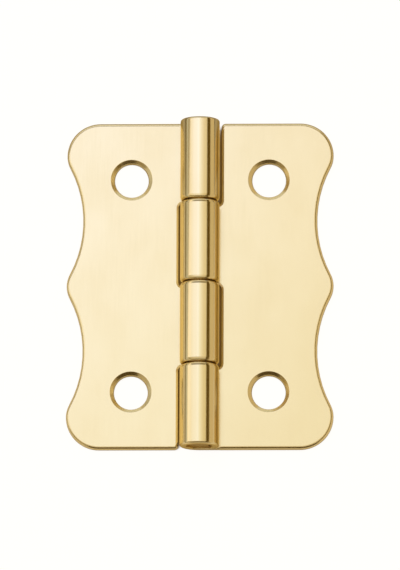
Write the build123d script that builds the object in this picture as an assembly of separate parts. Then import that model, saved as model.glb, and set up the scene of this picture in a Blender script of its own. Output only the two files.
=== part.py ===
from build123d import *
import math
import os

# Box hinge, in millimetres. Two leaves of brass sheet are rolled round one plain pin.
# The hinge lies open on its back: back faces on Z = 0, pin along Y, origin under the pin's middle.

# Sizes of the sheet and the leaves
LEAF_LENGTH = 40.0  # along the pin
OPEN_WIDTH = 32.0  # across both leaves, opened flat
SHEET = 0.8
FRONT_ROUND = 0.35  # polished edge of a leaf's front face
EDGE_BREAK = 0.2  # chamfer round the back face, which is also the outside of the knuckles

# Wavy outer edge: a nose in the middle, a rounded corner at each end and a hollow between
CORNER_RADIUS = 4.0
CREST_RADIUS = 3.2  # of the nose, and of each corner's flank towards the hollow
WAVE_DEPTH = 1.95  # from the crests to the bottom of a hollow

# Knuckles and pin
KNUCKLE_COUNT = 4  # both leaves together, taking turns along the pin
PIN_DIAMETER = 3.0
PIN_CLEARANCE = 0.05  # all round the pin
PIN_RECESS = 0.25  # of the pin's ends below the knuckle ends
PIN_CHAMFER = 0.2
KNUCKLE_GAP = 0.15  # between the ends of neighbouring knuckles
ROLL_GAP = 0.1  # between the rolled sheet's end and the leaf it comes round to
NOTCH_GAP = 0.2  # between a leaf and the other leaf's knuckles
NOTCH_CORNER_RADIUS = 0.5
NOTCH_END_RADIUS = 0.7  # where an open notch runs out at a leaf's end

# Screw holes, two in each leaf
HOLE_DIAMETER = 4.0
HOLE_SPACING = 26.0  # along the pin
HOLE_ROW_SPACING = 16.5  # between the rows of the two leaves
COUNTERSINK_DIAMETER = 5.0
COUNTERSINK_ANGLE = 100.0

# Lengths that follow from the sizes above
HALF_LENGTH = LEAF_LENGTH / 2
HALF_WIDTH = OPEN_WIDTH / 2
BORE_RADIUS = PIN_DIAMETER / 2 + PIN_CLEARANCE
BARREL_RADIUS = BORE_RADIUS + SHEET
NOTCH_X = BARREL_RADIUS + NOTCH_GAP
KNUCKLE_PITCH = LEAF_LENGTH / KNUCKLE_COUNT

# Circles of the wavy edge: each hollow touches the two crests beside it
WAVE_PITCH = (HALF_LENGTH - CORNER_RADIUS) / 2  # from a crest to the next hollow
CENTRE_DISTANCE = (WAVE_PITCH**2 + WAVE_DEPTH**2) / (2 * WAVE_DEPTH)
HOLLOW_RADIUS = CENTRE_DISTANCE - CREST_RADIUS
CORNER_X = HALF_WIDTH - CORNER_RADIUS
CREST_X = HALF_WIDTH - CREST_RADIUS
HOLLOW_X = HALF_WIDTH - WAVE_DEPTH + HOLLOW_RADIUS
WAVE_ANGLE = math.degrees(math.asin(WAVE_PITCH / CENTRE_DISTANCE))

# The rolled sheet ends on a radius of the roll, its outer corner just above the leaf's front face
SHEET_END_ANGLE = math.degrees(math.asin((BORE_RADIUS - ROLL_GAP) / BARREL_RADIUS))
SHEET_END_DIRECTION = Vector(1, 0).rotate(Axis.Z, -SHEET_END_ANGLE)
ROLL_ANGLE = 270 + SHEET_END_ANGLE
ROLL_CENTRE = Vector(0, BARREL_RADIUS)

# A leaf's flat part and its knuckles meet under the sheet's end
JOIN_X = (BORE_RADIUS + SHEET / 2) * SHEET_END_DIRECTION.X

ON_LINE = 1e-4  # how near an edge or corner is to a line it lies on


def knuckle_span(index):
    """Lower and upper end, along Y, of the knuckle with this index, counted from the bottom."""
    low = -HALF_LENGTH + index * KNUCKLE_PITCH
    high = low + KNUCKLE_PITCH
    if index > 0:
        low += KNUCKLE_GAP / 2
    if index < KNUCKLE_COUNT - 1:
        high -= KNUCKLE_GAP / 2
    return low, high


def leaf_outline():
    """Outline of a right leaf before it is notched: one half, from the nose to the pin, and its mirror."""
    with BuildSketch() as outline:
        with BuildLine():
            CenterArc((CREST_X, 0), CREST_RADIUS, 0, WAVE_ANGLE)
            CenterArc((HOLLOW_X, WAVE_PITCH), HOLLOW_RADIUS, 180 + WAVE_ANGLE, -2 * WAVE_ANGLE)
            CenterArc((CREST_X, 2 * WAVE_PITCH), CREST_RADIUS, -WAVE_ANGLE, WAVE_ANGLE)
            CenterArc((CORNER_X, 2 * WAVE_PITCH), CORNER_RADIUS, 0, 90)
            Line((CORNER_X, HALF_LENGTH), (JOIN_X, HALF_LENGTH))
            Line((JOIN_X, HALF_LENGTH), (JOIN_X, 0))
            mirror(about=Plane.XZ)
        make_face()
    return outline.sketch


def notch_corners(corners, at_end):
    """Corners on the notches' inner edges: those at the leaf's ends, or all the others."""
    inner = [corner for corner in corners if abs(corner.X - NOTCH_X) < ON_LINE]
    return [corner for corner in inner if (abs(corner.Y) > HALF_LENGTH - ON_LINE) == at_end]


def free_edges(face):
    """Edges of a face of the flat part, without those where the knuckles are joined on."""
    return [edge for edge in face.edges() if edge.center().X > JOIN_X + ON_LINE]


def flat_part(knuckles):
    """Flat part of a right leaf, notched between the knuckles that it carries."""
    with BuildPart() as flat:
        with BuildSketch() as plan:
            add(leaf_outline())
            for index in range(KNUCKLE_COUNT):
                if index in knuckles:
                    continue
                low, high = knuckle_span(index)
                with Locations(((JOIN_X + NOTCH_X) / 2, (low + high) / 2)):
                    Rectangle(NOTCH_X - JOIN_X, high - low + 2 * KNUCKLE_GAP, mode=Mode.SUBTRACT)
            for at_end, radius in ((False, NOTCH_CORNER_RADIUS), (True, NOTCH_END_RADIUS)):
                corners = notch_corners(plan.vertices(), at_end)
                if corners:
                    fillet(corners, radius)
        extrude(amount=SHEET)
        fillet(free_edges(flat.faces().sort_by(Axis.Z)[-1]), FRONT_ROUND)
        chamfer(free_edges(flat.faces().sort_by(Axis.Z)[0]), EDGE_BREAK)
        with Locations((HOLE_ROW_SPACING / 2, -HOLE_SPACING / 2, SHEET),
                       (HOLE_ROW_SPACING / 2, HOLE_SPACING / 2, SHEET)):
            CounterSinkHole(HOLE_DIAMETER / 2, COUNTERSINK_DIAMETER / 2,
                            counter_sink_angle=COUNTERSINK_ANGLE)
    return flat.part


def knuckle(index):
    """A knuckle of a right leaf: the sheet runs under the pin and is rolled over it, back to its leaf."""
    low, high = knuckle_span(index)
    with BuildPart() as rolled:
        with BuildSketch(Plane.XZ.offset(-high)):
            with BuildLine():
                Line((JOIN_X, 0), (0, 0))
                CenterArc(ROLL_CENTRE, BARREL_RADIUS, -90, -ROLL_ANGLE)
                Line(ROLL_CENTRE + SHEET_END_DIRECTION * BARREL_RADIUS,
                     ROLL_CENTRE + SHEET_END_DIRECTION * BORE_RADIUS)
                CenterArc(ROLL_CENTRE, BORE_RADIUS, -SHEET_END_ANGLE, ROLL_ANGLE)
                Line((0, SHEET), (JOIN_X, SHEET))
                Line((JOIN_X, SHEET), (JOIN_X, 0))
            make_face()
        extrude(amount=high - low)
        outside = rolled.faces().filter_by(GeomType.CYLINDER).sort_by(SortBy.AREA)[-1]
        chamfer(outside.edges().filter_by(GeomType.CIRCLE), EDGE_BREAK)
    return rolled.part


def right_leaf(knuckles):
    """A leaf that lies on the +X side of the pin and carries the given knuckles."""
    leaf = flat_part(knuckles)
    for index in knuckles:
        leaf += knuckle(index)
    return leaf


def hinge_pin():
    """Plain pin through all knuckles, its ends a little below the knuckle ends."""
    with BuildPart() as pin:
        with Locations((0, 0, BARREL_RADIUS)):
            Cylinder(PIN_DIAMETER / 2, LEAF_LENGTH - 2 * PIN_RECESS, rotation=(90, 0, 0))
        chamfer(pin.edges().filter_by(GeomType.CIRCLE), PIN_CHAMFER)
    return pin.part


# With an even number of knuckles the two leaves are one and the same pressing, turned end for end
nodes = {
    "left_leaf": mirror(right_leaf(range(1, KNUCKLE_COUNT, 2)), about=Plane.YZ),
    "right_leaf": right_leaf(range(0, KNUCKLE_COUNT, 2)),
    "hinge_pin": hinge_pin(),
}

os.makedirs("parts", exist_ok=True)
for name, shape in nodes.items():
    export_step(shape, f"parts/{name}.step")
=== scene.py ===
import bmesh
import bpy
import math
from mathutils import Matrix, Vector, noise

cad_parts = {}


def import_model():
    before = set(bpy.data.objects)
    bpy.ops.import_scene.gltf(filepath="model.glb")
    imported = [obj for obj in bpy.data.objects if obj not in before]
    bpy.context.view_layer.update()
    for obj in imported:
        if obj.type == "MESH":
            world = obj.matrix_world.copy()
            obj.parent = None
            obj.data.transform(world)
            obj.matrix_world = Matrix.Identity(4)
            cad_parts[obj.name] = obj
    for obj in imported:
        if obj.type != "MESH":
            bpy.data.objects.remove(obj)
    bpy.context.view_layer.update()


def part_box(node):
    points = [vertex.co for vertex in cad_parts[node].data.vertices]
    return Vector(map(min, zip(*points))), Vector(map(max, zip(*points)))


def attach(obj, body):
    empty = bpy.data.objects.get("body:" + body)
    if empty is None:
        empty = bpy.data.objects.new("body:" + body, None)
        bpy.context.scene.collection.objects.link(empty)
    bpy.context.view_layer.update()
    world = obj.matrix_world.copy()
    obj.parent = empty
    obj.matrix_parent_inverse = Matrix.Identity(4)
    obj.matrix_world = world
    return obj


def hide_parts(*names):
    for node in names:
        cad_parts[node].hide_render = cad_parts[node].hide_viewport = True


# A brass box hinge, lying open on its back on a pale floor. Lengths are in millimetres up to the point
# where a mesh, a material or the camera is made; MM turns them into the frame's metres.
MM = 0.001
ACROSS = Vector((1.0, 0.0, 0.0))
ALONG = Vector((0.0, 1.0, 0.0))
UP = Vector((0.0, 0.0, 1.0))

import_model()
leaf_low, leaf_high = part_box("right_leaf")
_, pin_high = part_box("hinge_pin")

# Sizes taken from the frame
HALF_WIDTH = leaf_high.x / MM
HALF_LENGTH = leaf_high.y / MM
BARREL_RADIUS = -leaf_low.x / MM
PIN_RADIUS = pin_high.x / MM
PIN_END = pin_high.y / MM

# Sheet, wavy edge, knuckles and holes of a leaf
SHEET = 0.8
CORNER_RADIUS = 4.0
CREST_RADIUS = 3.2
WAVE_DEPTH = 1.95  # from the crests to the bottom of a hollow
KNUCKLE_COUNT = 4  # both leaves together
KNUCKLE_GAP = 0.15  # between the ends of neighbouring knuckles
ROLL_GAP = 0.1  # between the rolled sheet's end and the leaf it comes round to
NOTCH_GAP = 0.2  # between a leaf and the other leaf's knuckles
NOTCH_CORNER_RADIUS = 0.5
NOTCH_END_RADIUS = 0.45  # where an open notch runs out at a leaf's end
TAB_CORNER_RADIUS = 0.45  # at the rolled sheet's end
HOLE_DIAMETER = 4.0
COUNTERSINK_DIAMETER = 5.0
COUNTERSINK_DEPTH = 0.3
COUNTERSINK_SLOPE = math.radians(37)  # against the front face
HOLE_SPACING = 26.0  # along the pin
HOLE_ROW_SPACING = 16.5  # between the rows of the two leaves

# Polished edges: their radius on the front face and on the back face, which is the outside of a knuckle
OUTER_ROUNDS = (0.42, 0.2)
NOTCH_ROUNDS = (0.1, 0.15)
KNUCKLE_ROUNDS = (0.12, 0.3)
BARREL_END_ROUNDS = (0.12, 0.27)
KNUCKLE_BEVEL = 0.18  # length of the flat bevel at a knuckle's ends
KNUCKLE_SLOPE = math.radians(13)
NOTCH_BEVEL = 0.22  # length of the front face that was drawn in when the notch was sheared
NOTCH_SLOPE = math.radians(12)
CREASE = 0.01  # width over which the shading turns from a face to an edge
HOLE_ROUNDS = (0.1, 0.1, 0.1)  # at the countersink's rim, at its throat and at the back

# Cropped ends of the pin
PIN_ROUND = 0.3
PIN_UNEVENNESS = 0.12  # height of the torn patches
PIN_PATCH = 0.7
PIN_FRACTAL = (0.8, 2.0, 3)  # increment, lacunarity and octaves of the patches

# Fineness of the meshes
ROLL_STEPS = 72
ROUND_STEPS = 7
CIRCLE_STEPS = 72  # round a hole or the pin
ARC_STEP = 5.0  # degrees along the outline
CORNER_STEP = 12.0  # degrees in a corner of a hole's profile
NEAR = 1e-5  # places nearer to each other than this are one place

# Lengths that follow from the sizes above
BORE_RADIUS = BARREL_RADIUS - SHEET
NOTCH_X = BARREL_RADIUS + NOTCH_GAP
TAB_ROOT_X = NOTCH_X - NOTCH_CORNER_RADIUS
WAVE_PITCH = (HALF_LENGTH - CORNER_RADIUS) / 2
CENTRE_DISTANCE = (WAVE_PITCH**2 + WAVE_DEPTH**2) / (2 * WAVE_DEPTH)
HOLLOW_RADIUS = CENTRE_DISTANCE - CREST_RADIUS
CORNER_X = HALF_WIDTH - CORNER_RADIUS
CREST_X = HALF_WIDTH - CREST_RADIUS
HOLLOW_X = HALF_WIDTH - WAVE_DEPTH + HOLLOW_RADIUS
WAVE_ANGLE = math.degrees(math.asin(WAVE_PITCH / CENTRE_DISTANCE))
ROLL_ANGLE = 1.5 * math.pi + math.asin((BORE_RADIUS - ROLL_GAP) / BARREL_RADIUS)
ROLL_MIDDLE = BORE_RADIUS + SHEET / 2
TAB_LENGTH = ROLL_MIDDLE * ROLL_ANGLE
TAB_END_X = TAB_CORNER_RADIUS - TAB_LENGTH

# Patterns in the brass: width and length of the streaks, and detail
FINE_GRAIN = (0.11, 4.0, 4.0)
STREAKS = (0.4, 20.0, 2.0)
CLOUDS = (5.0, 7.0, 3.0)
NOISE_RANGE = (0.3, 0.7)  # usual range of a noise value

# What the patterns do to the brass
TARNISH_SHARE = 0.4  # of the tarnished colour in the densest clouds
GRAIN_ROUGHNESS = 0.02  # that the fine grain adds or takes away
CLOUD_ROUGHNESS = 0.04  # that the clouds add
GRAIN_HEIGHT = 0.02
GRAIN_STRENGTH = 0.015
CUT_FACING = (0.9, 0.98)  # how squarely a face looks along the hinge to be partly, and fully, a cut end
EDGE_TINT = (0.96, 0.84, 0.56)  # share of the light that brass keeps at a glancing angle

# Along the barrel's height: painted shade puts the dull colour on the barrel's flanks in place of the darker
# reflection they show. Share of the barrel's height against that painted shade, and against a factor on the
# roughness, roughest on the flanks and least on the top
FLANK_SHADE_STOPS = ((0.17, 0.0), (0.26, 1.0), (0.7, 1.0), (0.83, 0.0))
ROUGHNESS_STOPS = ((0.17, 1.0), (0.26, 1.3), (0.7, 1.3), (0.83, 0.65))

MIX_COLOURS = (6, 7)  # a Mix node's inputs for the colours that it mixes
MIX_RESULT = 2  # and its output for their mixture

# Camera: a long lens, looking down on the hinge from a little towards its lower end
CAMERA_DISTANCE = 1200.0
CAMERA_TILT = math.radians(12.4)
CAMERA_TURN = math.radians(1.7)
CAMERA_ROLL = math.radians(0.2)
CAMERA_TARGET = Vector((-0.025, 0.25, 0.0))
PICTURE_HEIGHT = 68.35  # real height that the picture takes in at the target
SENSOR = 36.0  # along the picture's height

# Overhead softbox: angles from straight up, as seen from the hinge, each with the light's colour there
SOFTBOX_HEIGHT = 160.0
SOFTBOX_ACROSS = (
    (-72, (1.20, 1.03, 0.74)),
    (-60, (1.08, 0.97, 0.78)),
    (-46, (1.00, 0.94, 0.86)),
    (-33, (1.05, 1.03, 1.08)),
    (-16, (1.07, 1.06, 1.16)),
    (-7, (1.10, 1.13, 1.32)),
    (3, (1.01, 0.99, 0.96)),
    (14, (0.92, 0.84, 0.70)),
    (26, (0.82, 0.71, 0.51)),
    (42, (0.76, 0.64, 0.40)),
)
SOFTBOX_ALONG = (
    (-15, (0.92, 0.86, 0.70)),
    (6, (0.94, 0.92, 0.80)),
    (20, (1.02, 1.01, 1.02)),
    (29, (1.02, 1.01, 1.02)),
    (32, (0.30, 0.26, 0.18)),
    (46, (0.30, 0.26, 0.18)),
    (50, (1.05, 1.00, 0.90)),
    (62, (0.90, 0.86, 0.74)),
)

# Upright cards round the hinge, seen only in the metal: ends in plan, lower and upper edge, colour
CARDS = (
    ("gold_card_right", (52.0, -61.0), (80.0, 160.0), 0.0, 34.3, (0.60, 0.46, 0.24)),
    ("dark_card_right", (52.0, -61.0), (80.0, 160.0), 34.3, 68.5, (0.10, 0.055, 0.004)),
    ("dark_card_left", (-60.0, -30.0), (-60.0, 60.0), 0.0, 9.0, (0.24, 0.18, 0.07)),
    ("pale_card_left", (-60.0, -30.0), (-60.0, 60.0), 9.0, 22.7, (0.52, 0.48, 0.36)),
    ("brown_card_front", (-34.0, -60.0), (50.0, -60.0), 0.0, 20.0, (0.22, 0.155, 0.065)),
    ("dark_card_front", (-34.0, -60.0), (50.0, -60.0), 20.0, 60.0, (0.06, 0.035, 0.006)),
    ("brown_card_left", (-75.0, -25.0), (-34.0, -60.0), 26.0, 55.0, (0.25, 0.18, 0.07)),
    ("pale_card_back", (-80.0, 120.0), (80.0, 120.0), 0.0, 64.0, (0.66, 0.63, 0.50)),
)
SURROUNDINGS = (0.62, 0.51, 0.31)

# Floor
FLOOR_RADIUS = 1200.0
FLOOR_RIM = 90.0  # height of its upturned rim, which is the backdrop of low views
FLOOR_DROP = 0.1  # below the hinge's back
FLOOR_STEPS = 96
FLOOR_RIM_STEPS = 8
FLOOR_COLOUR = (0.18, 0.155, 0.11)
FLOOR_GLOW = 0.93  # white that it adds for the camera
FLOOR_MIRRORED = (0.54, 0.46, 0.32)  # painted light that the floor adds only in the metal's reflection
FLOOR_POOL = (60.0, 90.0)  # radii between which that painted light fades out
FLOOR_POOL_MIDDLE = Vector((0.0, -50.0, 0.0))
CREVICE = 3.0  # reach within which the metal's nearness puts painted shade on the floor
CREVICE_STOPS = ((0.25, (0.10, 0.045, 0.004)), (0.45, (1.0, 1.0, 1.0)))  # openness, colour of the camera's glow there: painted shade in crevices
CREVICE_POWER = 1.5  # of the openness, as a factor on that painted light: painted shade next to the metal


# Rings of vertices, and objects

def spokes(count, first, second):
    """Directions all round a circle, from the first axis towards the second."""
    angles = [2 * math.pi * step / count for step in range(count)]
    return [first * math.cos(angle) + second * math.sin(angle) for angle in angles]


def band(mesh, rings):
    """Faces between each ring and the next."""
    for low, high in zip(rings, rings[1:]):
        for i in range(len(low)):
            mesh.faces.new((low[i - 1], low[i], high[i], high[i - 1]))


def fan(mesh, ring, place):
    """Faces from a ring to a place in its middle."""
    middle = mesh.verts.new(place)
    for i in range(len(ring)):
        mesh.faces.new((ring[i - 1], ring[i], middle))


def scene_object(name, data):
    """A new object in the scene."""
    made = bpy.data.objects.new(name, data)
    bpy.context.scene.collection.objects.link(made)
    return made


def smooth_object(name, mesh):
    """A new object in the scene, made of a mesh and shaded smooth."""
    data = bpy.data.meshes.new(name)
    mesh.to_mesh(data)
    data.shade_smooth()
    return scene_object(name, data)


# The leaf: a flat blank with rounded edges, whose tabs are then rolled round the pin

def edge_profile(radius, flat=CREASE, slope=0.0):
    """An edge from the sheet's face to its side: distance from the side, depth below the face, direction."""
    start = radius * (1 - math.sin(slope)) + flat
    profile = [(start + CREASE, 0.0, Vector((0.0, 1.0)))]
    profile.append((start, 0.0, Vector((math.sin(slope), math.cos(slope)))))
    for step in range(ROUND_STEPS + 1):
        angle = slope + (math.pi / 2 - slope) * step / ROUND_STEPS
        inward = radius * (1 - math.sin(angle))
        drop = flat * math.tan(slope) + radius * (math.cos(slope) - math.cos(angle))
        profile.append((inward, drop, Vector((math.sin(angle), math.cos(angle)))))
    return profile


# Each edge has a profile to the front face and one to the back face
FRONT = 0
BACK = 1
OUTER_EDGE = [edge_profile(radius) for radius in OUTER_ROUNDS]
BARREL_END_EDGE = [edge_profile(radius) for radius in BARREL_END_ROUNDS]
NOTCH_EDGE = [
    edge_profile(NOTCH_ROUNDS[FRONT], NOTCH_BEVEL, NOTCH_SLOPE),
    edge_profile(NOTCH_ROUNDS[BACK]),
]
KNUCKLE_EDGE = [
    edge_profile(KNUCKLE_ROUNDS[FRONT]),
    edge_profile(KNUCKLE_ROUNDS[BACK], KNUCKLE_BEVEL, KNUCKLE_SLOPE),
]


def knuckle_span(index):
    """Lower and upper end, along Y, of the knuckle with this index, counted from the bottom."""
    pitch = 2 * HALF_LENGTH / KNUCKLE_COUNT
    low = -HALF_LENGTH + index * pitch
    high = low + pitch
    if index > 0:
        low += KNUCKLE_GAP / 2
    if index < KNUCKLE_COUNT - 1:
        high -= KNUCKLE_GAP / 2
    return low, high


def arc(x, y, radius, start, turn, edge, hollow=False):
    """Points of the outline on an arc: place, direction away from the sheet, and polished edge."""
    steps = math.ceil(abs(turn) / ARC_STEP)
    points = []
    for step in range(steps + 1):
        angle = math.radians(start + turn * step / steps)
        spoke = Vector((math.cos(angle), math.sin(angle), 0.0))
        points.append((Vector((x, y, 0.0)) + spoke * radius, -spoke if hollow else spoke, edge))
    return points


def hollow_edge(y):
    """Outline of the hollow whose middle is at this place along Y."""
    return arc(HOLLOW_X, y, HOLLOW_RADIUS, 180 + WAVE_ANGLE, -2 * WAVE_ANGLE, OUTER_EDGE, hollow=True)


def wavy_edge():
    """Outline of the right leaf from its lower to its upper corner."""
    points = arc(CORNER_X, -2 * WAVE_PITCH, CORNER_RADIUS, -90, 90, OUTER_EDGE)
    points += arc(CREST_X, -2 * WAVE_PITCH, CREST_RADIUS, 0, WAVE_ANGLE, OUTER_EDGE)
    points += hollow_edge(-WAVE_PITCH)
    points += arc(CREST_X, 0, CREST_RADIUS, -WAVE_ANGLE, 2 * WAVE_ANGLE, OUTER_EDGE)
    points += hollow_edge(WAVE_PITCH)
    points += arc(CREST_X, 2 * WAVE_PITCH, CREST_RADIUS, -WAVE_ANGLE, WAVE_ANGLE, OUTER_EDGE)
    points += arc(CORNER_X, 2 * WAVE_PITCH, CORNER_RADIUS, 0, 90, OUTER_EDGE)
    return points


def notch_corner(y, start):
    """Outline of a notch's rounded corner at the root of a tab."""
    return arc(TAB_ROOT_X, y, NOTCH_CORNER_RADIUS, start, -90, NOTCH_EDGE, hollow=True)


def tab_side(y, away, edge):
    """Outline along one side of a tab, from its end to its root, with a point at each step of the roll."""
    steps = [-TAB_LENGTH * step / ROLL_STEPS for step in range(ROLL_STEPS, -1, -1)]
    places = [TAB_END_X, *(x for x in steps if x > TAB_END_X), TAB_ROOT_X]
    return [(Vector((x, y, 0.0)), away, edge) for x in places]


def blank_outline():
    """Outline of the right leaf's blank, anticlockwise from its lower corner, tabs laid out flat."""
    points = wavy_edge()
    end_y = HALF_LENGTH - NOTCH_END_RADIUS
    points += arc(NOTCH_X + NOTCH_END_RADIUS, end_y, NOTCH_END_RADIUS, 90, 90, OUTER_EDGE)
    points.append((Vector((NOTCH_X, end_y - NOTCH_END_RADIUS, 0.0)), -ACROSS, NOTCH_EDGE))
    for index in range(KNUCKLE_COUNT - 2, -1, -2):
        low, high = knuckle_span(index)
        low_edge = KNUCKLE_EDGE if index > 0 else BARREL_END_EDGE
        points += notch_corner(high + NOTCH_CORNER_RADIUS, 0)
        points += reversed(tab_side(high, ALONG, KNUCKLE_EDGE))
        points += arc(TAB_END_X, high - TAB_CORNER_RADIUS, TAB_CORNER_RADIUS, 90, 90, KNUCKLE_EDGE)
        points += arc(TAB_END_X, low + TAB_CORNER_RADIUS, TAB_CORNER_RADIUS, 180, 90, low_edge)
        points += tab_side(low, -ALONG, low_edge)
        if index > 0:
            points += notch_corner(low - NOTCH_CORNER_RADIUS, 90)
    points.append((Vector((NOTCH_X, -HALF_LENGTH, 0.0)), -ALONG, OUTER_EDGE))
    apart = [before for before, after in zip(points, points[1:]) if (after[0] - before[0]).length > NEAR]
    return apart + points[-1:]


def rounded_profile(corners, radii):
    """A profile with its inner corners rounded: places, and directions away from the metal on its left."""
    profile = []
    for before, corner, after, radius in zip(corners, corners[1:], corners[2:], radii):
        come = (corner - before).normalized()
        go = (after - corner).normalized()
        turn = -come.angle_signed(go)
        away = Vector((come.y, -come.x))
        centre = corner - come * radius * math.tan(turn / 2) - away * radius
        steps = math.ceil(math.degrees(turn) / CORNER_STEP)
        for step in range(steps + 1):
            spoke = Matrix.Rotation(turn * step / steps, 2) @ away
            profile.append((centre + spoke * radius, spoke))
    return profile


def hole_profile():
    """Punched and countersunk hole from the front face to the back face, as radius and height."""
    hole = HOLE_DIAMETER / 2
    rim = COUNTERSINK_DIAMETER / 2
    outside = 2 * rim  # somewhere on the face, to give its direction
    throat = (rim - COUNTERSINK_DEPTH / math.tan(COUNTERSINK_SLOPE), SHEET - COUNTERSINK_DEPTH)
    corners = [(outside, SHEET), (rim, SHEET), throat, (hole, 0.0), (outside, 0.0)]
    return rounded_profile([Vector(corner) for corner in corners], HOLE_ROUNDS)


class Skin:
    """A mesh in the making, which keeps for each vertex the direction that its surface faces."""

    def __init__(self):
        self.mesh = bmesh.new()
        self.facing = self.mesh.verts.layers.float_vector.new("facing")

    def ring(self, places, facings):
        """Vertices at these places."""
        vertices = [self.mesh.verts.new(place) for place in places]
        for vertex, facing in zip(vertices, facings):
            vertex[self.facing] = facing
        return vertices

    def fill(self, rings):
        """A flat face between an outer ring and the holes in it."""
        edges = [self.mesh.edges.get((ring[i - 1], ring[i])) for ring in rings for i in range(len(ring))]
        bmesh.ops.triangle_fill(self.mesh, use_beauty=True, edges=edges)

    def cut(self, x):
        """An edge wherever the faces cross this place along X."""
        crossing = []
        for face in self.mesh.faces:
            places = [vertex.co.x for vertex in face.verts]
            if min(places) < x < max(places):
                crossing += [face, *face.edges, *face.verts]
        once_each = list(dict.fromkeys(crossing))
        bmesh.ops.bisect_plane(self.mesh, geom=once_each, dist=NEAR, plane_co=ACROSS * x, plane_no=ACROSS)

    def piece(self, name, turn):
        """An object of the mesh, turned, in metres and shaded by the kept directions."""
        bmesh.ops.recalc_face_normals(self.mesh, faces=self.mesh.faces[:])
        facings = [turn @ vertex[self.facing].normalized() for vertex in self.mesh.verts]
        made = smooth_object(name, self.mesh)
        made.data.attributes.remove(made.data.attributes["facing"])
        made.data.transform((turn * MM).to_4x4())
        made.data.normals_split_custom_set_from_vertices(facings)
        return made


def edge_rings(skin, outline):
    """The polished edge all round the blank, from the back face to the front face."""
    rings = []
    steps = range(len(OUTER_EDGE[FRONT]))
    for side, up, level, side_steps in ((BACK, -UP, 0.0, steps), (FRONT, UP, SHEET, reversed(steps))):
        for step in side_steps:
            places = []
            facings = []
            for place, away, edge in outline:
                inward, drop, facing = edge[side][step]
                places.append(place + UP * level - away * inward - up * drop)
                facings.append(away * facing.x + up * facing.y)
            rings.append(skin.ring(places, facings))
    band(skin.mesh, rings)
    return rings


def hole_rings(skin, centre):
    """The wall of a countersunk hole, from the front face to the back face."""
    directions = spokes(CIRCLE_STEPS, ACROSS, ALONG)
    rings = []
    for place, facing in hole_profile():
        places = [centre + spoke * place.x + UP * place.y for spoke in directions]
        rings.append(skin.ring(places, [spoke * facing.x + UP * facing.y for spoke in directions]))
    band(skin.mesh, rings)
    return rings


def roll(skin):
    """Rolls what lies beyond the pin's axis round the pin: the back face becomes the outside."""
    for step in range(ROLL_STEPS):
        skin.cut(-TAB_LENGTH * step / ROLL_STEPS)
    for vertex in skin.mesh.verts:
        if vertex.co.x < 0:
            angle = -vertex.co.x / ROLL_MIDDLE
            radius = BARREL_RADIUS - vertex.co.z
            vertex[skin.facing] = Matrix.Rotation(angle, 3, "Y") @ vertex[skin.facing]
            vertex.co.x = -radius * math.sin(angle)
            vertex.co.z = BARREL_RADIUS - radius * math.cos(angle)


def leaf_skin():
    """The right leaf."""
    skin = Skin()
    edge = edge_rings(skin, blank_outline())
    holes = [hole_rings(skin, Vector((HOLE_ROW_SPACING / 2, y, 0.0)))
             for y in (-HOLE_SPACING / 2, HOLE_SPACING / 2)]
    skin.fill([edge[0], *(rings[-1] for rings in holes)])
    skin.fill([edge[-1], *(rings[0] for rings in holes)])
    roll(skin)
    return skin


# The pin: a length of wire whose ends are left as they were cropped

def pin_profile():
    """The wire's lower half from the middle of its end to its middle, as radius and place along Y."""
    face = PIN_RADIUS - PIN_ROUND
    profile = [(face * step / ROUND_STEPS, -PIN_END) for step in range(1, ROUND_STEPS)]
    for step in range(ROUND_STEPS + 1):
        angle = math.pi / 2 * step / ROUND_STEPS
        profile.append((face + PIN_ROUND * math.sin(angle), -PIN_END + PIN_ROUND * (1 - math.cos(angle))))
    return profile


def cropped(place):
    """A place on the pin, moved along it by the torn patches of its nearer end."""
    depth = PIN_UNEVENNESS * (0.5 + 0.5 * noise.fractal(place / PIN_PATCH, *PIN_FRACTAL))
    near_end = max(0.0, 1 - (PIN_END - abs(place.y)) / PIN_ROUND)
    return place - ALONG * math.copysign(depth * near_end, place.y)


def pin_piece(name):
    """An object of the pin with its two cropped ends."""
    half = pin_profile()
    profile = half + [(radius, -y) for radius, y in reversed(half)]
    directions = spokes(CIRCLE_STEPS, ACROSS, UP)
    axis = UP * BARREL_RADIUS
    mesh = bmesh.new()
    rings = []
    for radius, y in profile:
        places = [axis + spoke * radius + ALONG * y for spoke in directions]
        rings.append([mesh.verts.new(cropped(place) * MM) for place in places])
    band(mesh, rings)
    fan(mesh, rings[0], cropped(axis - ALONG * PIN_END) * MM)
    fan(mesh, rings[-1], cropped(axis + ALONG * PIN_END) * MM)
    bmesh.ops.recalc_face_normals(mesh, faces=mesh.faces[:])
    return smooth_object(name, mesh)


# Materials

def new_material(name):
    """An empty node material, with its tree and its output node."""
    material = bpy.data.materials.new(name)
    material.use_nodes = True
    tree = material.node_tree
    tree.nodes.clear()
    return material, tree, tree.nodes.new("ShaderNodeOutputMaterial")


def plug(tree, socket, value):
    """Gives an input its value, or links it to another socket. A colour's alpha is added here."""
    if isinstance(value, bpy.types.NodeSocket):
        tree.links.new(value, socket)
    elif socket.type == "RGBA":
        socket.default_value = (*value, 1.0)
    else:
        socket.default_value = value


def node(tree, kind, **inputs):
    """A new node of this kind; each input is a value, or a socket to link."""
    made = tree.nodes.new("ShaderNode" + kind)
    for name, value in inputs.items():
        plug(tree, made.inputs[name.replace("_", " ")], value)
    return made


def maths(tree, operation, *values):
    """A Math node's result."""
    made = tree.nodes.new("ShaderNodeMath")
    made.operation = operation
    for socket, value in zip(made.inputs, values):
        plug(tree, socket, value)
    return made.outputs["Value"]


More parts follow.
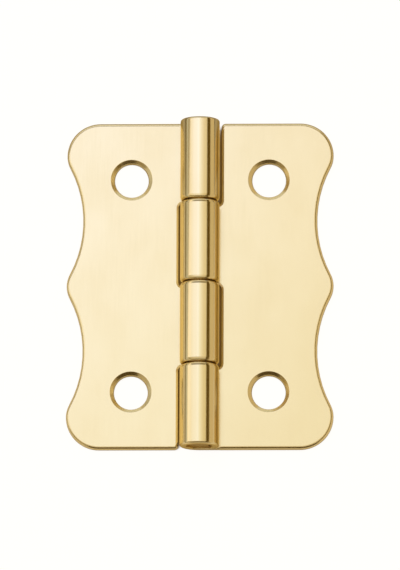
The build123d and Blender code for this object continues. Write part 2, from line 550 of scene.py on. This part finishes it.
def ramp(tree, fac, stops):
    """A colour ramp with these positions and colours."""
    made = node(tree, "ValToRGB", Fac=fac)
    elements = made.color_ramp.elements
    while len(elements) < len(stops):
        elements.new(0.5)
    for element, (position, colour) in zip(elements, stops):
        element.position = position
        element.color = (*colour, 1.0)
    return made.outputs["Color"]


def grey_ramp(tree, fac, stops):
    """A ramp with these positions and values."""
    return ramp(tree, fac, [(position, (value, value, value)) for position, value in stops])


def spread(tree, value, low, high):
    """A noise value from its usual range onto low to high."""
    usual_low, usual_high = NOISE_RANGE
    made = node(tree, "MapRange", Value=value, From_Min=usual_low, From_Max=usual_high,
                To_Min=low, To_Max=high)
    return made.outputs["Result"]


def grain(tree, across, along, detail):
    """Noise stretched along the hinge, whose streaks have this width and length."""
    place = node(tree, "TexCoord").outputs["Object"]
    scale = (1 / (across * MM), 1 / (along * MM), 1 / (across * MM))
    stretched = node(tree, "Mapping", Vector=place, Scale=scale).outputs["Vector"]
    return node(tree, "TexNoise", Vector=stretched, Scale=1.0, Detail=detail).outputs["Fac"]


def mixed(tree, factor, first, second, blend="MIX"):
    """A colour made of two colours."""
    mix = tree.nodes.new("ShaderNodeMix")
    mix.data_type = "RGBA"
    mix.blend_type = blend
    plug(tree, mix.inputs["Factor"], factor)
    for index, colour in zip(MIX_COLOURS, (first, second)):
        plug(tree, mix.inputs[index], colour)
    return mix.outputs[MIX_RESULT]


def dull_ends_and_shaded_flanks(tree, height):
    """Where the dull colour goes: on the barrel's flanks as painted shade, and on ends that are cut across
    the hinge, which are unpolished.
    """
    facing = node(tree, "SeparateXYZ", Vector=node(tree, "NewGeometry").outputs["Normal"])
    endwise = maths(tree, "ABSOLUTE", facing.outputs["Y"])
    cut = node(tree, "MapRange", Value=endwise, From_Min=CUT_FACING[0], From_Max=CUT_FACING[1])
    return maths(tree, "MAXIMUM", grey_ramp(tree, height, FLANK_SHADE_STOPS), cut.outputs["Result"])


def brass(name, colour, tarnish, dull_and_shade, roughness, streak_height):
    """Polished brass with a fine grain along the hinge, shallow streaks, a slight uneven tarnish and painted
    shade on the barrel's flanks.
    """
    material, tree, output = new_material(name)
    fine = grain(tree, *FINE_GRAIN)
    streaks = grain(tree, *STREAKS)
    cloud = grain(tree, *CLOUDS)
    place = node(tree, "SeparateXYZ", Vector=node(tree, "TexCoord").outputs["Object"])
    height = maths(tree, "DIVIDE", place.outputs["Z"], 2 * BARREL_RADIUS * MM)
    polish = mixed(tree, spread(tree, cloud, 0.0, TARNISH_SHARE), colour, tarnish)
    # painted shade: the dull colour darkens the barrel's flanks; on the cut ends it is their own unpolished
    # colour
    metal = mixed(tree, dull_ends_and_shaded_flanks(tree, height), polish, dull_and_shade)
    shine = spread(tree, fine, roughness - GRAIN_ROUGHNESS, roughness + GRAIN_ROUGHNESS)
    shine = maths(tree, "ADD", shine, spread(tree, cloud, 0.0, CLOUD_ROUGHNESS))
    shine = maths(tree, "MULTIPLY", shine, grey_ramp(tree, height, ROUGHNESS_STOPS))
    bump = node(tree, "Bump", Height=fine, Strength=GRAIN_STRENGTH, Distance=GRAIN_HEIGHT * MM)
    bump = node(tree, "Bump", Height=streaks, Strength=1.0, Distance=streak_height * MM,
                Normal=bump.outputs["Normal"])
    surface = node(tree, "BsdfPrincipled", Base_Color=metal, Metallic=1.0, Specular_Tint=EDGE_TINT,
                   Roughness=shine, Normal=bump.outputs["Normal"])
    tree.links.new(surface.outputs["BSDF"], output.inputs["Surface"])
    return material


# Studio

def panel(name, corners):
    """A flat panel with four corners, which the camera doesn't see."""
    data = bpy.data.meshes.new(name)
    data.from_pydata([Vector(corner) * MM for corner in corners], [], [(0, 1, 2, 3)])
    piece = scene_object(name, data)
    piece.visible_camera = False
    return piece


def emit(tree, output, colour):
    """Makes a material that only shines, in this colour."""
    light = node(tree, "Emission", Color=colour, Strength=1.0)
    tree.links.new(light.outputs["Emission"], output.inputs["Surface"])


def across_softbox(angle):
    """Distance from the softbox's middle, straight above the hinge, at this angle."""
    return SOFTBOX_HEIGHT * math.tan(math.radians(angle))


def light_ramp(tree, fac, stops):
    """The softbox's colour between angles, from its one edge to the other."""
    low = across_softbox(stops[0][0])
    high = across_softbox(stops[-1][0])
    placed = [((across_softbox(angle) - low) / (high - low), colour) for angle, colour in stops]
    return ramp(tree, fac, placed)


def softbox_colour(tree):
    """The softbox's colour from side to side times its colour along the hinge."""
    place = node(tree, "SeparateXYZ", Vector=node(tree, "TexCoord").outputs["Generated"])
    across = light_ramp(tree, place.outputs["X"], SOFTBOX_ACROSS)
    along = light_ramp(tree, place.outputs["Y"], SOFTBOX_ALONG)
    return mixed(tree, 1.0, across, along, "MULTIPLY")


def softbox():
    """The main light, above the hinge."""
    left, right = (across_softbox(SOFTBOX_ACROSS[i][0]) for i in (0, -1))
    low, high = (across_softbox(SOFTBOX_ALONG[i][0]) for i in (0, -1))
    corners = [(x, y, SOFTBOX_HEIGHT) for x, y in ((left, low), (left, high), (right, high), (right, low))]
    piece = panel("softbox", corners)
    material, tree, output = new_material("softbox_light")
    emit(tree, output, softbox_colour(tree))
    piece.data.materials.append(material)


def card(name, start, end, low, high, colour):
    """A card beside the hinge, which only its reflection in the metal shows."""
    piece = panel(name, [(*start, low), (*end, low), (*end, high), (*start, high)])
    piece.visible_shadow = False
    piece.visible_diffuse = False
    material, tree, output = new_material(name)
    emit(tree, output, colour)
    piece.data.materials.append(material)


def pool(tree):
    """Share of the floor's painted light in the metal: all of it in front of the hinge, fading out beyond.
    """
    distance = node(tree, "VectorMath", Vector=node(tree, "TexCoord").outputs["Object"])
    distance.operation = "DISTANCE"
    distance.inputs[1].default_value = FLOOR_POOL_MIDDLE * MM
    inner, outer = FLOOR_POOL
    share = node(tree, "MapRange", Value=distance.outputs["Value"], From_Min=inner * MM, From_Max=outer * MM,
                 To_Min=1.0, To_Max=0.0)
    share.interpolation_type = "SMOOTHSTEP"
    return share.outputs["Result"]


def floor_material():
    """White for the camera with painted shade in crevices, and a painted warm glow near the hinge that only
    the metal's reflection shows.
    """
    material, tree, output = new_material("floor_white")
    path = node(tree, "LightPath").outputs
    openness = node(tree, "AmbientOcclusion", Distance=CREVICE * MM).outputs["AO"]
    seen = maths(tree, "MAXIMUM", path["Is Camera Ray"], path["Is Transmission Ray"])
    # painted shade: the camera's white glow turns dark brown where the metal crowds the floor
    glow = node(tree, "Emission", Color=ramp(tree, openness, CREVICE_STOPS),
                Strength=maths(tree, "MULTIPLY", seen, FLOOR_GLOW))
    # painted reflection: a warm glow seen only in the metal round the hinge, with painted shade next to the
    # metal
    near = maths(tree, "MULTIPLY", pool(tree), maths(tree, "POWER", openness, CREVICE_POWER))
    mirrored = node(tree, "Emission", Color=FLOOR_MIRRORED,
                    Strength=maths(tree, "MULTIPLY", path["Is Glossy Ray"], near))
    shader = node(tree, "BsdfDiffuse", Color=FLOOR_COLOUR).outputs["BSDF"]
    for light in (glow, mirrored):
        both = tree.nodes.new("ShaderNodeAddShader")
        tree.links.new(shader, both.inputs[0])
        tree.links.new(light.outputs["Emission"], both.inputs[1])
        shader = both.outputs["Shader"]
    tree.links.new(shader, output.inputs["Surface"])
    return material


def floor():
    """A round floor with an upturned rim, made from the rim's top to the middle."""
    directions = spokes(FLOOR_STEPS, ACROSS, ALONG)
    mesh = bmesh.new()
    rings = []
    for step in range(FLOOR_RIM_STEPS, -1, -1):
        angle = math.pi / 2 * step / FLOOR_RIM_STEPS
        radius = FLOOR_RADIUS - FLOOR_RIM * (1 - math.sin(angle))
        height = FLOOR_RIM * (1 - math.cos(angle)) - FLOOR_DROP
        rings.append([mesh.verts.new((spoke * radius + UP * height) * MM) for spoke in directions])
    band(mesh, rings)
    fan(mesh, rings[-1], -UP * FLOOR_DROP * MM)
    piece = smooth_object("floor", mesh)
    piece.data.materials.append(floor_material())


def world():
    """Warm surroundings."""
    sky = bpy.data.worlds.new("studio")
    bpy.context.scene.world = sky
    sky.use_nodes = True
    plug(sky.node_tree, sky.node_tree.nodes["Background"].inputs["Color"], SURROUNDINGS)


def camera():
    """The camera of the main view."""
    data = bpy.data.cameras.new("camera")
    data.sensor_width = SENSOR
    data.lens = SENSOR * CAMERA_DISTANCE / PICTURE_HEIGHT
    piece = scene_object("camera", data)
    back = Vector((math.tan(CAMERA_TURN), -math.tan(CAMERA_TILT), 1.0)).normalized()
    right = ALONG.cross(back).normalized()
    turn = Matrix((right, back.cross(right), back)).transposed() @ Matrix.Rotation(CAMERA_ROLL, 3, "Z")
    piece.matrix_world = Matrix.LocRotScale((CAMERA_TARGET + back * CAMERA_DISTANCE) * MM, turn, None)
    bpy.context.scene.camera = piece


# The hinge

# the dull colour is the cut ends' own colour and also the painted shade on the barrel's flanks
leaf_brass = brass("leaf_brass", colour=(0.96, 0.85, 0.58), tarnish=(0.93, 0.80, 0.50),
                   dull_and_shade=(0.77, 0.61, 0.28), roughness=0.2, streak_height=0.0007)
pin_brass = brass("pin_brass", colour=(0.75, 0.60, 0.35), tarnish=(0.45, 0.34, 0.18),
                  dull_and_shade=(0.60, 0.45, 0.22), roughness=0.35, streak_height=0.004)

END_FOR_END = Matrix.Rotation(math.pi, 3, "Z")
skin = leaf_skin()
for node_name, body, turn in (("right_leaf", "moving_leaf", Matrix.Identity(3)),
                              ("left_leaf", "fixed_leaf", END_FOR_END)):
    leaf = skin.piece(node_name + "_sheet", turn)
    leaf.data.materials.append(leaf_brass)
    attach(leaf, body)
    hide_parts(node_name)

pin = pin_piece("hinge_pin_wire")
pin.data.materials.append(pin_brass)
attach(pin, "fixed_leaf")
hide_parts("hinge_pin")

# The studio round it

softbox()
for stage_card in CARDS:
    card(*stage_card)
floor()
world()
camera()
bpy.context.scene.view_settings.view_transform = "Standard"
